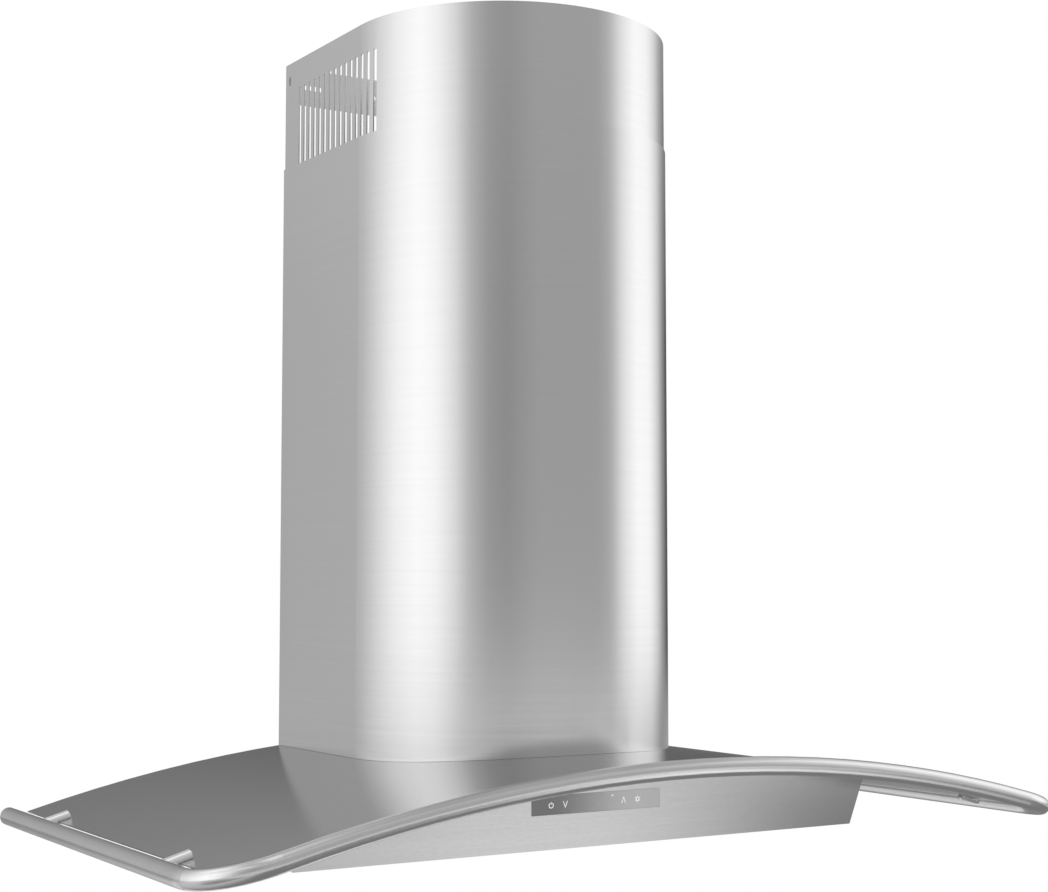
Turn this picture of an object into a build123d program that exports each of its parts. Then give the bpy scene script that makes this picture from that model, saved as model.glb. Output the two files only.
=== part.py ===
from build123d import *
import os
from math import asin, atan2, cos, degrees, hypot, radians, sin, sqrt, tan

os.makedirs("parts", exist_ok=True)

# Wall mount range hood with an arched canopy sheet, a rail round its edge and a telescoping chimney.
# The wall is the plane Y = 0, the front faces -Y and +Z is up.
# The origin is the centre of the wall screw pattern, on the back of the body.

# Body
SCREW_LINE = 40.0  # bottom edge of the body up to the wall screw pattern's centre
BODY_DEPTH = 341.0  # wall to the outside of the front panel
BODY_WIDTH = 609.0  # across the bottom edge
BODY_LEAN = 22.6  # side panels lean outward, degrees
BODY_SHEET = 1.2
WALL_SCREW_SPAN = 400.0
WALL_SCREW_RISE = 36.0
WALL_SCREW_HOLE = 8.0
SEAM = 0.1  # gap left where an edge is scribed to the arch

# Canopy sheet and rail
OVERALL_WIDTH = 900.0  # across the outside of the rail
ARCH_RADIUS = 1538.0  # top face of the sheet
ARCH_PEAK = 83.0  # top face at the middle, above the body's bottom
CANOPY_SHEET = 1.0
RAIL_DIAMETER = 16.5
RAIL_WALL = 1.2
RAIL_REACH = 498.0  # wall to the axis of the front run
RAIL_BEND = 57.0  # bend radius at the tube's axis
RAIL_LIFT = 0.6  # front run's axis above the sheet's top face
RAIL_GAP = 9.7  # sheet edge to tube
RAIL_SEAM_TURN = 12.0  # first part of each bend, which belongs to the side run, degrees
RAIL_SEAM = 0.1  # joint between the front run and each side run
RAIL_SPIGOT_PLAY = 0.1  # swaged end of the front run, inside each side run
RAIL_SEAM_CHAMFER = 0.3
CAP_HEAD = 1.5
CAP_PLUG = 8.0
CAP_PLAY = 0.1

# Pegs that carry the rail
PEG_DIAMETER = 11.0
PEG_INBOARD = 12.0  # length over the sheet
PEG_RISE = 1.9  # sheet middle up to the peg's axis
PEG_CHAMFER = 0.8
PEG_REAR = 90.0  # wall to the rear pegs
PEG_BEHIND_BEND = 54.0  # start of the bend back to the front pegs
PEG_PLAY = 0.05
PEG_SLOT_PLAY = 0.2  # lets the flat slot take the curved sheet
PEG_SLOT_END = 0.4  # slot's end past the sheet's edge
PEG_SCREW_INSET = 5.6  # sheet edge to the screw
PEG_SCREW_DIAMETER = 4.0
PEG_SCREW_HEAD = 6.0
PEG_SCREW_HEAD_HEIGHT = 1.5
PEG_SCREW_SEAT = 2.0  # sheet middle down to the screw head's seat
PEG_SCREW_RISE = 4.6  # sheet middle up to the screw's tip
PEG_SCREW_SOCKET = 2.5  # across the hexagon's flats
PEG_SCREW_SOCKET_DEPTH = 1.0

# Touch strip and its electronics
TOUCH_WIDTH = 141.4
TOUCH_HEIGHT = 17.3
TOUCH_THICKNESS = 3.0
TOUCH_LINE = 40.0  # its centre above the body's bottom
TOUCH_GAP = 0.15
HOUSING_MARGIN_X = 9.0
HOUSING_MARGIN_Z = 6.0
HOUSING_DEPTH = 18.0
HOUSING_WALL = 1.6
BOARD_THICKNESS = 1.6
BOARD_MARGIN = 1.5  # board edge to the housing's wall
BOARD_PILLAR = 6.0
BOARD_PILLAR_HEIGHT = 8.0
BOARD_CHIP = 8.0
BOARD_CHIP_PITCH = 16.0
BOARD_CHIP_HEIGHT = 1.4
BOARD_CHIP_COUNT = 5

# Lamps in the bottom frame
LAMP_SPREAD = 190.0  # centre line to each lamp
LAMP_HOLE = 52.0
LAMP_FLANGE = 60.0
LAMP_FLANGE_HEIGHT = 1.2
LAMP_RIM_FILLET = 0.8
LAMP_PLAY = 0.2
LAMP_SLEEVE_WALL = 1.5
LAMP_SLEEVE_HEIGHT = 10.0
LAMP_LIP = 2.8  # lip that holds the lens
LAMP_LENS = 3.0
LAMP_MODULE_HEIGHT = 6.0
LAMP_FIN_HEIGHT = 12.0
LAMP_FIN = 2.0
LAMP_FIN_COUNT = 12
LAMP_CORE = 18.0
DRIVER_WIDTH = 100.0
DRIVER_DEPTH = 24.0
DRIVER_HEIGHT = 24.0
DRIVER_CORNER = 3.0
DRIVER_SHIFT = 80.0  # to the left of the centre line
DRIVER_LINE = 36.0  # its centre above the body's bottom

# Baffle filters
FILTER_OPENING_WIDTH = 266.0
FILTER_OPENING_DEPTH = 238.0
FILTER_CENTRE_BAR = 24.0
FILTER_REAR_STRIP = 30.0  # wall to the filter opening
FILTER_PLAY = 1.0
FILTER_HEIGHT = 14.0
FILTER_SHEET = 0.8
FILTER_FLANGE = 12.0
BAFFLE_PITCH = 29.0
BAFFLE_WIDTH = 19.0
BAFFLE_HEIGHT = 6.5
BAFFLE_SHEET = 0.8
BAFFLE_PLAY = 0.1
TONGUE_WIDTH = 30.0
TONGUE_SPAN = 150.0
TONGUE_REACH = 8.0
TONGUE_CLEARANCE = 0.3
HANDLE_SPAN = 60.0
HANDLE_WIDTH = 9.0
HANDLE_STRIP = 1.5
HANDLE_BEND = 3.0
HANDLE_DROP = 9.0
HANDLE_FOOT = 9.0

# Chimney
CHIMNEY_WIDTH = 328.0
CHIMNEY_FLAT = 174.3  # depth of the flat sides, before the half-round front
CHIMNEY_SHEET = 1.0
LOWER_TOP = 672.5  # above the body's bottom
UPPER_TOP = 783.5  # above the body's bottom
UPPER_LENGTH = 511.0
NEST_GAP = 0.4
SLOT_COUNT = 15
SLOT_PITCH = 11.8
SLOT_WIDTH = 5.0
SLOT_FIRST = 35.6  # wall to the first slot
SLOT_TOP = 29.8  # rim down to the slots
SLOT_LENGTH = 81.2
SCREW_SLOT_LENGTH = 10.0
SCREW_SLOT_WIDTH = 3.6
SCREW_SLOT_INSET = 10.0  # from the back edge
SCREW_SLOT_DROP = 18.5  # rim down to its centre
BRACKET_DROP = 39.5  # rim down to the bracket's lower edge
BRACKET_HEIGHT = 39.0
BRACKET_SHEET = 1.5
BRACKET_TAB_DEPTH = 22.0
BRACKET_TAB_HEIGHT = 30.0
BRACKET_SCREW_SPAN = 120.0
BRACKET_SCREW_HOLE = 6.0
BRACKET_SLOT_SPAN = 265.4
BRACKET_SLOT_LENGTH = 25.0
BRACKET_SLOT_WIDTH = 5.2
BRACKET_PLAY = 0.2
FOOT_LENGTH = 80.0
FOOT_LEG = 30.0
FOOT_SHEET = 1.5
FOOT_CENTRE = 100.0  # wall to the middle of each foot

# Blower
BOX_WIDTH = 224.0
BOX_REAR = 25.0  # wall to the back of the box
BOX_DEPTH = 250.0
BOX_TOP = 320.0  # above the body's bottom
BOX_SHEET = 1.0
AIR_OPENING_WIDTH = 190.0
AIR_OPENING_DEPTH = 210.0
FAN_DISTANCE = 170.0  # wall to the fan's axis
FAN_LINE = 205.0  # the axis above the body's bottom
FAN_DIAMETER = 156.0
FAN_WIDTH = 84.0
FAN_RING = 14.0
FAN_SHEET = 1.2
FAN_BLADES = 30
FAN_BLADE_CHORD = 12.6
FAN_BLADE_PITCH = 32.0  # blade angle to the radius, degrees
FAN_HUB = 26.0
FAN_HUB_LENGTH = 24.0
SCROLL_START = 88.0  # radius of the first quarter
SCROLL_STEP = 10.0  # growth at each quarter
SCROLL_WIDTH = 92.0
SCROLL_SHEET = 1.0
INLET_DIAMETER = 124.0
SHAFT_DIAMETER = 12.0
SHAFT_CHAMFER = 1.0
SHAFT_PLAY = 0.05
SHAFT_END_GAP = 5.0  # shaft's end to the bottom of the motor's bore
SHAFT_RIGHT = 20.0
MOTOR_DIAMETER = 80.0
MOTOR_LENGTH = 48.0
MOTOR_GAP = 9.0  # side plate to the motor's face
MOTOR_BAND = 16.0
MOTOR_BAND_SHEET = 2.0
MOTOR_BAND_PLAY = 0.05
MOTOR_ARMS = 3
MOTOR_ARM_WIDTH = 12.0
MOTOR_ARM_RADIUS = 72.0
MOTOR_CAP = 60.0
MOTOR_CAP_HEIGHT = 4.0
MOTOR_END_WALL = 4.0

# Duct outlet and damper
COLLAR_DIAMETER = 150.0
COLLAR_HEIGHT = 50.0
COLLAR_SHEET = 1.0
COLLAR_FLANGE = 11.0
LEDGE = 5.0
LEDGE_SHEET = 1.2
DAMPER_LINE = 26.0  # box top to the damper pin
DAMPER_PIN = 4.0
DAMPER_PLAY = 0.08
DAMPER_SHEET = 1.0
DAMPER_RIM_GAP = 2.0
DAMPER_REST_GAP = 0.3
KNUCKLE_DIAMETER = 6.4
KNUCKLE_LENGTH = 20.0
KNUCKLE_PITCH = 30.0
KNUCKLE_GAP = 0.4

# Mains connection
JUNCTION_WIDTH = 110.0
JUNCTION_DEPTH = 56.0
JUNCTION_HEIGHT = 45.0
JUNCTION_SHEET = 1.2
JUNCTION_GAP = 7.0  # collar flange to the box
COVER_SCREW_DIAMETER = 3.0
COVER_SCREW_HEAD = 6.0
COVER_SCREW_HEAD_HEIGHT = 2.0
COVER_SCREW_LENGTH = 8.0
COVER_SCREW_PLAY = 0.05
COVER_EAR = 8.0
COVER_EAR_WIDTH = 16.0
GLAND_THREAD = 16.0
GLAND_HEAD = 24.0
GLAND_HEAD_LENGTH = 14.0
GLAND_NUT_LENGTH = 5.0
GLAND_BORE = 8.0
GLAND_PLAY = 0.1
CAPACITOR_DIAMETER = 30.0
CAPACITOR_LENGTH = 60.0
CAPACITOR_FILLET = 2.0
CAPACITOR_SHIFT = 15.0  # its middle, to the right of the box's middle

# Values worked out from the sizes above
bottom = -SCREW_LINE
arch_centre = bottom + ARCH_PEAK - ARCH_RADIUS
arch_under = ARCH_RADIUS - CANOPY_SHEET - SEAM
arch_over = ARCH_RADIUS + SEAM
lean = tan(radians(BODY_LEAN))
lean_width = BODY_SHEET / cos(radians(BODY_LEAN))
rail_radius = RAIL_DIAMETER / 2
rail_x = OVERALL_WIDTH / 2 - rail_radius
rail_arc = ARCH_RADIUS + RAIL_LIFT
rail_tip = asin(rail_x / hypot(rail_arc, RAIL_BEND)) - atan2(RAIL_BEND, rail_arc)
rail_z = arch_centre + rail_arc * cos(rail_tip) - RAIL_BEND * sin(rail_tip)
rail_joint = RAIL_REACH - RAIL_BEND
seam_turn = RAIL_SEAM_TURN - degrees(RAIL_SEAM / RAIL_BEND)
spigot_radius = rail_radius - RAIL_WALL - RAIL_SPIGOT_PLAY
canopy_half = rail_x - rail_radius - RAIL_GAP
canopy_depth = RAIL_REACH - rail_radius - RAIL_GAP
canopy_corner = RAIL_BEND - rail_radius - RAIL_GAP
filter_x = (FILTER_CENTRE_BAR + FILTER_OPENING_WIDTH) / 2
filter_y = -FILTER_REAR_STRIP - FILTER_OPENING_DEPTH / 2
filter_front = FILTER_REAR_STRIP + FILTER_OPENING_DEPTH
filter_width = FILTER_OPENING_WIDTH - 2 * FILTER_PLAY
filter_depth = FILTER_OPENING_DEPTH - 2 * FILTER_PLAY
lamp_y = -(filter_front + BODY_DEPTH - BODY_SHEET) / 2
chimney_half = CHIMNEY_WIDTH / 2
upper_half = chimney_half - CHIMNEY_SHEET - NEST_GAP
lower_rim = bottom + LOWER_TOP
upper_rim = bottom + UPPER_TOP
box_top = bottom + BOX_TOP
box_y = -BOX_REAR - BOX_DEPTH / 2
fan_y = -FAN_DISTANCE
fan_z = bottom + FAN_LINE
scroll_half = SCROLL_WIDTH / 2
sides = {"left": -1, "right": 1}


def arch_height(x, radius):
    """Height of a circle about the arch's centre."""
    return arch_centre + sqrt(radius**2 - x**2)


def save(builder, name):
    builder.part.label = name
    export_step(builder.part, f"parts/{name}.step")


# Canopy sheet
def peg_plane(side, station):
    """Plane at the sheet's side edge, X outward along the slope and Z square to the sheet."""
    slope = asin(canopy_half / (ARCH_RADIUS - CANOPY_SHEET / 2))
    edge = (side * canopy_half, -station, arch_height(canopy_half, ARCH_RADIUS - CANOPY_SHEET / 2))
    outward = (side * cos(slope), 0, -sin(slope))
    square = (side * sin(slope), 0, cos(slope))
    return Plane(origin=edge, x_dir=outward, z_dir=square)


peg_stations = (PEG_REAR, rail_joint - PEG_BEHIND_BEND)
peg_planes = [peg_plane(side, station) for side in sides.values() for station in peg_stations]

with BuildPart() as canopy_sheet:
    with BuildSketch(Plane.XY.offset(bottom)) as canopy_plan:
        with Locations((0, -canopy_depth / 2)):
            Rectangle(2 * canopy_half, canopy_depth)
        fillet(canopy_plan.vertices().group_by(Axis.Y)[0], radius=canopy_corner)
        with Locations((0, box_y)):
            Rectangle(AIR_OPENING_WIDTH, AIR_OPENING_DEPTH, mode=Mode.SUBTRACT)
    extrude(amount=2 * ARCH_PEAK)
    with Locations((0, 0, arch_centre)):
        Cylinder(ARCH_RADIUS, 2 * RAIL_REACH, rotation=(90, 0, 0), mode=Mode.INTERSECT)
        Cylinder(ARCH_RADIUS - CANOPY_SHEET, 2 * RAIL_REACH, rotation=(90, 0, 0), mode=Mode.SUBTRACT)
    with BuildSketch(*peg_planes):
        with Locations((-PEG_SCREW_INSET, 0)):
            Circle(PEG_SCREW_DIAMETER / 2 + PEG_PLAY)
    extrude(amount=2 * CANOPY_SHEET, both=True, mode=Mode.SUBTRACT)
save(canopy_sheet, "canopy_sheet")

# Rail: a front run with its two bends, and a run on each side up to the joint in the bend
def bend_axis(side, turn):
    """Point and direction of the tube's axis in one front bend, in the plane of the arch's end tangent."""
    angle = radians(turn)
    inward = Vector(-side * cos(rail_tip), 0, sin(rail_tip))
    forward = Vector(0, -1, 0)
    start = Vector(side * rail_x, -rail_joint, rail_z)
    place = start + inward * (RAIL_BEND * (1 - cos(angle))) + forward * (RAIL_BEND * sin(angle))
    return place, inward * sin(angle) + forward * cos(angle)


def bend_arc(side, first, last):
    """Stretch of one front bend's axis between two angles from its start."""
    return ThreePointArc(*[bend_axis(side, turn)[0] for turn in (first, (first + last) / 2, last)])


def seam_plane(side):
    """Plane across the tube at the joint in one front bend, Z towards the front run."""
    place, along = bend_axis(side, RAIL_SEAM_TURN)
    return Plane(origin=place, z_dir=along)


with BuildPart() as rail_front:
    with BuildLine():
        bend_arc(-1, RAIL_SEAM_TURN, 90)
        ThreePointArc(bend_axis(-1, 90)[0], (0, -RAIL_REACH, arch_centre + rail_arc), bend_axis(1, 90)[0])
        bend_arc(1, 90, RAIL_SEAM_TURN)
    with BuildSketch(seam_plane(-1)):
        Circle(rail_radius)
        Circle(rail_radius - RAIL_WALL, mode=Mode.SUBTRACT)
    sweep()
    for side in sides.values():
        with BuildLine():
            bend_arc(side, RAIL_SEAM_TURN, 0)
        with BuildSketch(seam_plane(side)):
            Circle(spigot_radius)
            Circle(spigot_radius - RAIL_WALL, mode=Mode.SUBTRACT)
        sweep()
        with BuildSketch(seam_plane(side)):
            Circle(rail_radius - RAIL_WALL / 2)
            Circle(spigot_radius - RAIL_WALL, mode=Mode.SUBTRACT)
        extrude(amount=RAIL_WALL)
save(rail_front, "rail_front")

for hand, side in sides.items():
    with BuildPart() as rail_side:
        with BuildLine():
            Line((side * rail_x, -CAP_HEAD, rail_z), bend_axis(side, 0)[0])
            bend_arc(side, 0, seam_turn)
        with BuildSketch(Plane.XZ.offset(CAP_HEAD)):
            with Locations((side * rail_x, rail_z)):
                Circle(rail_radius)
                Circle(rail_radius - RAIL_WALL, mode=Mode.SUBTRACT)
        sweep()
        seam = bend_axis(side, seam_turn)[0]
        circles = rail_side.edges().filter_by(GeomType.CIRCLE)
        seam_edges = circles.filter_by(lambda edge: (edge.arc_center - seam).length < RAIL_SEAM)
        chamfer(seam_edges.sort_by(SortBy.RADIUS)[-1], length=RAIL_SEAM_CHAMFER)
    save(rail_side, f"rail_side_{hand}")

for hand, side in sides.items():
    with BuildPart() as rail_end_cap:
        with BuildSketch(Plane.XZ):
            with Locations((side * rail_x, rail_z)):
                Circle(rail_radius)
        extrude(amount=CAP_HEAD)
        with BuildSketch(Plane.XZ.offset(CAP_HEAD)):
            with Locations((side * rail_x, rail_z)):
                Circle(rail_radius - RAIL_WALL - CAP_PLAY)
        extrude(amount=CAP_PLUG)
    save(rail_end_cap, f"rail_end_cap_{hand}")

# Pegs and their screws
with BuildPart() as rail_standoffs:
    for plane in peg_planes:
        tip = plane.origin - plane.x_dir * PEG_INBOARD + plane.z_dir * PEG_RISE
        with BuildSketch(Plane(tip, x_dir=plane.y_dir, z_dir=plane.x_dir)):
            Circle(PEG_DIAMETER / 2)
        extrude(amount=PEG_INBOARD + RAIL_GAP + rail_radius)
    peg_rims = rail_standoffs.edges().filter_by(GeomType.CIRCLE)
    chamfer(peg_rims.sort_by(lambda rim: abs(rim.center().X))[: len(peg_planes)], length=PEG_CHAMFER)
    with BuildSketch(*peg_planes):
        with Locations((PEG_SLOT_END, 0)):
            Rectangle(2 * PEG_INBOARD, 2 * PEG_DIAMETER, align=(Align.MAX, Align.CENTER))
    extrude(amount=CANOPY_SHEET / 2 + PEG_SLOT_PLAY, both=True, mode=Mode.SUBTRACT)
    with BuildSketch(*peg_planes):
        with Locations((-PEG_SCREW_INSET, 0)):
            Circle(PEG_SCREW_DIAMETER / 2 + PEG_PLAY)
    extrude(amount=PEG_SCREW_RISE + PEG_PLAY, both=True, mode=Mode.SUBTRACT)
    with BuildSketch(*[plane.offset(-PEG_SCREW_SEAT) for plane in peg_planes]):
        with Locations((-PEG_SCREW_INSET, 0)):
            Circle(PEG_SCREW_HEAD / 2 + PEG_PLAY)
    extrude(amount=-PEG_DIAMETER, mode=Mode.SUBTRACT)
    with BuildSketch(Plane.XZ):
        with Locations((-rail_x, rail_z), (rail_x, rail_z)):
            Circle(rail_radius + PEG_PLAY)
    extrude(amount=RAIL_REACH, mode=Mode.SUBTRACT)
save(rail_standoffs, "rail_standoffs")

with BuildPart() as standoff_screws:
    with BuildSketch(*[plane.offset(-PEG_SCREW_SEAT) for plane in peg_planes]):
        with Locations((-PEG_SCREW_INSET, 0)):
            Circle(PEG_SCREW_DIAMETER / 2)
    extrude(amount=PEG_SCREW_SEAT + PEG_SCREW_RISE)
    with BuildSketch(*[plane.offset(-PEG_SCREW_SEAT) for plane in peg_planes]):
        with Locations((-PEG_SCREW_INSET, 0)):
            Circle(PEG_SCREW_HEAD / 2)
    extrude(amount=-PEG_SCREW_HEAD_HEIGHT)
    with BuildSketch(*[plane.offset(-PEG_SCREW_SEAT - PEG_SCREW_HEAD_HEIGHT) for plane in peg_planes]):
        with Locations((-PEG_SCREW_INSET, 0)):
            RegularPolygon(PEG_SCREW_SOCKET / 2, 6, major_radius=False)
    extrude(amount=PEG_SCREW_SOCKET_DEPTH, mode=Mode.SUBTRACT)
save(standoff_screws, "standoff_screws")


# Body panels
def body_outline(top):
    """Corners of the body's outline from its bottom edge up to a height."""
    low = BODY_WIDTH / 2
    high = low + top * lean
    return [(-low, bottom), (low, bottom), (high, bottom + top), (-high, bottom + top)]


with BuildPart() as front_panel:
    with BuildSketch(Plane.XZ.offset(BODY_DEPTH - BODY_SHEET)):
        Polygon(*body_outline(ARCH_PEAK), align=None)
        with Locations((0, bottom + TOUCH_LINE)):
            Rectangle(TOUCH_WIDTH + 2 * TOUCH_GAP, TOUCH_HEIGHT + 2 * TOUCH_GAP, mode=Mode.SUBTRACT)
    extrude(amount=BODY_SHEET)
    with Locations((0, 0, arch_centre)):
        Cylinder(arch_under, 2 * RAIL_REACH, rotation=(90, 0, 0), mode=Mode.INTERSECT)
save(front_panel, "front_panel")

with BuildPart() as back_panel:
    with BuildSketch(Plane.XZ):
        Polygon(*body_outline(ARCH_PEAK), align=None)
        with GridLocations(WALL_SCREW_SPAN, WALL_SCREW_RISE, 2, 2):
            Circle(WALL_SCREW_HOLE / 2, mode=Mode.SUBTRACT)
    extrude(amount=BODY_SHEET)
    with Locations((0, 0, arch_centre)):
        Cylinder(arch_under, 2 * RAIL_REACH, rotation=(90, 0, 0), mode=Mode.INTERSECT)
save(back_panel, "back_panel")

for hand, side in sides.items():
    with BuildPart() as side_panel:
        with BuildSketch(Plane.XZ.offset(BODY_SHEET)):
            low = side * BODY_WIDTH / 2
            high = low + side * ARCH_PEAK * lean
            skin = side * lean_width
            peak = bottom + ARCH_PEAK
            Polygon((low, bottom), (high, peak), (high - skin, peak), (low - skin, bottom), align=None)
        extrude(amount=BODY_DEPTH - 2 * BODY_SHEET)
        with Locations((0, 0, arch_centre)):
            Cylinder(arch_under, 2 * RAIL_REACH, rotation=(90, 0, 0), mode=Mode.INTERSECT)
    save(side_panel, f"side_panel_{hand}")

with BuildPart() as bottom_frame:
    with BuildSketch(Plane.XY.offset(bottom)):
        with Locations((0, -BODY_DEPTH / 2)):
            Rectangle(BODY_WIDTH - 2 * lean_width - 2 * SEAM, BODY_DEPTH - 2 * BODY_SHEET)
        with Locations((-filter_x, filter_y), (filter_x, filter_y)):
            Rectangle(FILTER_OPENING_WIDTH, FILTER_OPENING_DEPTH, mode=Mode.SUBTRACT)
        with Locations((-LAMP_SPREAD, lamp_y), (LAMP_SPREAD, lamp_y)):
            Circle(LAMP_HOLE / 2, mode=Mode.SUBTRACT)
    extrude(amount=BODY_SHEET)
save(bottom_frame, "bottom_frame")

# Touch strip, its housing and its board
with BuildPart() as touch_panel:
    with BuildSketch(Plane.XZ.offset(BODY_DEPTH - TOUCH_THICKNESS)):
        with Locations((0, bottom + TOUCH_LINE)):
            Rectangle(TOUCH_WIDTH, TOUCH_HEIGHT)
    extrude(amount=TOUCH_THICKNESS)
save(touch_panel, "touch_panel")

housing_width = TOUCH_WIDTH + 2 * HOUSING_MARGIN_X
housing_height = TOUCH_HEIGHT + 2 * HOUSING_MARGIN_Z
housing_back = BODY_DEPTH - BODY_SHEET - HOUSING_DEPTH
board_width = housing_width - 2 * HOUSING_WALL - 2 * BOARD_MARGIN
board_height = housing_height - 2 * HOUSING_WALL - 2 * BOARD_MARGIN
pillar_span = board_width - 2 * BOARD_PILLAR
pillar_rise = board_height - 2 * BOARD_PILLAR
board_back = housing_back + HOUSING_WALL + BOARD_PILLAR_HEIGHT
with BuildPart() as control_housing:
    with BuildSketch(Plane.XZ.offset(housing_back)):
        with Locations((0, bottom + TOUCH_LINE)):
            Rectangle(housing_width, housing_height)
    extrude(amount=HOUSING_DEPTH)
    with BuildSketch(Plane.XZ.offset(housing_back + HOUSING_WALL)):
        with Locations((0, bottom + TOUCH_LINE)):
            Rectangle(housing_width - 2 * HOUSING_WALL, housing_height - 2 * HOUSING_WALL)
    extrude(amount=HOUSING_DEPTH, mode=Mode.SUBTRACT)
    with BuildSketch(Plane.XZ.offset(housing_back + HOUSING_WALL)):
        with Locations((0, bottom + TOUCH_LINE)):
            with GridLocations(pillar_span, pillar_rise, 2, 2):
                Circle(BOARD_PILLAR / 2)
    extrude(amount=BOARD_PILLAR_HEIGHT)
save(control_housing, "control_housing")

with BuildPart() as control_board:
    with BuildSketch(Plane.XZ.offset(board_back)):
        with Locations((0, bottom + TOUCH_LINE)):
            Rectangle(board_width, board_height)
    extrude(amount=BOARD_THICKNESS)
    with BuildSketch(Plane.XZ.offset(board_back + BOARD_THICKNESS)):
        with Locations((0, bottom + TOUCH_LINE)):
            with GridLocations(BOARD_CHIP_PITCH, 0, BOARD_CHIP_COUNT, 1):
                Rectangle(BOARD_CHIP, BOARD_CHIP)
    extrude(amount=BOARD_CHIP_HEIGHT)
save(control_board, "control_board")

# Lamps
lamp_sleeve = LAMP_HOLE / 2 - LAMP_PLAY
lamp_bore = lamp_sleeve - LAMP_SLEEVE_WALL
for hand, side in sides.items():
    with BuildPart() as lamp_bezel:
        with BuildSketch(Plane.XY.offset(bottom - LAMP_FLANGE_HEIGHT)):
            with Locations((side * LAMP_SPREAD, lamp_y)):
                Circle(LAMP_FLANGE / 2)
                Circle(lamp_bore - LAMP_LIP, mode=Mode.SUBTRACT)
        extrude(amount=LAMP_FLANGE_HEIGHT)
        with BuildSketch(Plane.XY.offset(bottom)):
            with Locations((side * LAMP_SPREAD, lamp_y)):
                Circle(lamp_sleeve)
                Circle(lamp_bore, mode=Mode.SUBTRACT)
        extrude(amount=LAMP_SLEEVE_HEIGHT)
        rim = lamp_bezel.edges().filter_by(GeomType.CIRCLE).group_by(Axis.Z)[0].sort_by(SortBy.RADIUS)[-1]
        fillet(rim, radius=LAMP_RIM_FILLET)
    save(lamp_bezel, f"lamp_bezel_{hand}")

    with BuildPart() as lamp_lens:
        with BuildSketch(Plane.XY.offset(bottom)):
            with Locations((side * LAMP_SPREAD, lamp_y)):
                Circle(lamp_bore - LAMP_PLAY)
        extrude(amount=LAMP_LENS)
    save(lamp_lens, f"lamp_lens_{hand}")

    with BuildPart() as lamp_module:
        with BuildSketch(Plane.XY.offset(bottom + LAMP_LENS)):
            with Locations((side * LAMP_SPREAD, lamp_y)):
                Circle(lamp_bore - LAMP_PLAY)
        extrude(amount=LAMP_MODULE_HEIGHT)
        with BuildSketch(Plane.XY.offset(bottom + LAMP_LENS + LAMP_MODULE_HEIGHT)):
            with Locations((side * LAMP_SPREAD, lamp_y)):
                Circle(LAMP_CORE / 2)
                fin_tip = lamp_bore - LAMP_PLAY - LAMP_FIN / 2
                fin_length = fin_tip - LAMP_CORE / 2 + LAMP_FIN
                with PolarLocations(fin_tip - fin_length / 2, LAMP_FIN_COUNT):
                    Rectangle(fin_length, LAMP_FIN)
        extrude(amount=LAMP_FIN_HEIGHT)
    save(lamp_module, f"lamp_module_{hand}")

with BuildPart() as lamp_driver:
    with BuildSketch(Plane.XZ.offset(BODY_SHEET)):
        with Locations((-DRIVER_SHIFT, bottom + DRIVER_LINE)):
            RectangleRounded(DRIVER_WIDTH, DRIVER_HEIGHT, DRIVER_CORNER)
    extrude(amount=DRIVER_DEPTH)
save(lamp_driver, "lamp_driver")

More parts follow.
